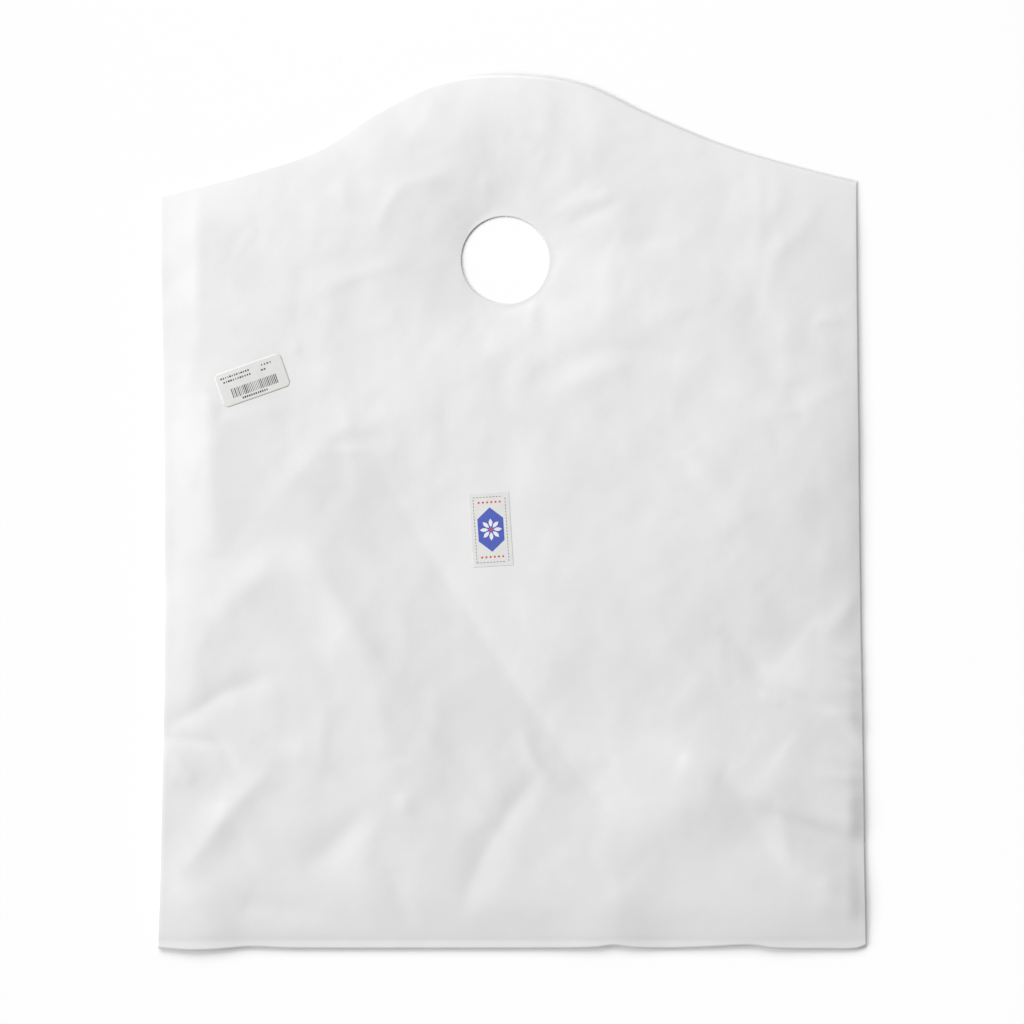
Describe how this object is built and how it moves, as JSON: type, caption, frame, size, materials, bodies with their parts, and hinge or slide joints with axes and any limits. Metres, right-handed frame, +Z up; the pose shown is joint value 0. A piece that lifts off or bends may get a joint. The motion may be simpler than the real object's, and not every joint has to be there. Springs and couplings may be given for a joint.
{
  "type": "plastic carrier bag",
  "caption": "Flat film carrier bag with a wave-cut open mouth, a punched round hand hole and a welded bottom, lying empty on its back.",
  "frame": {"origin": "on the surface that the bag lies on, under the middle of its length and width", "axes": "+Z up, away from the surface; +Y along the bag towards its open mouth; +X to the right as seen from above"},
  "size_m": [0.4, 0.5, 0.0075],
  "materials": {
    "film": "satin white polyethylene film, slightly translucent",
    "label_paper": "smooth coated paper label with dark bars",
    "label_print": "printed label, blue field with a pale margin"
  },
  "bodies": {
    "root": {"bag_film": "film", "price_label": "label_paper", "emblem_label": "label_print"}
  },
  "joints": []
}
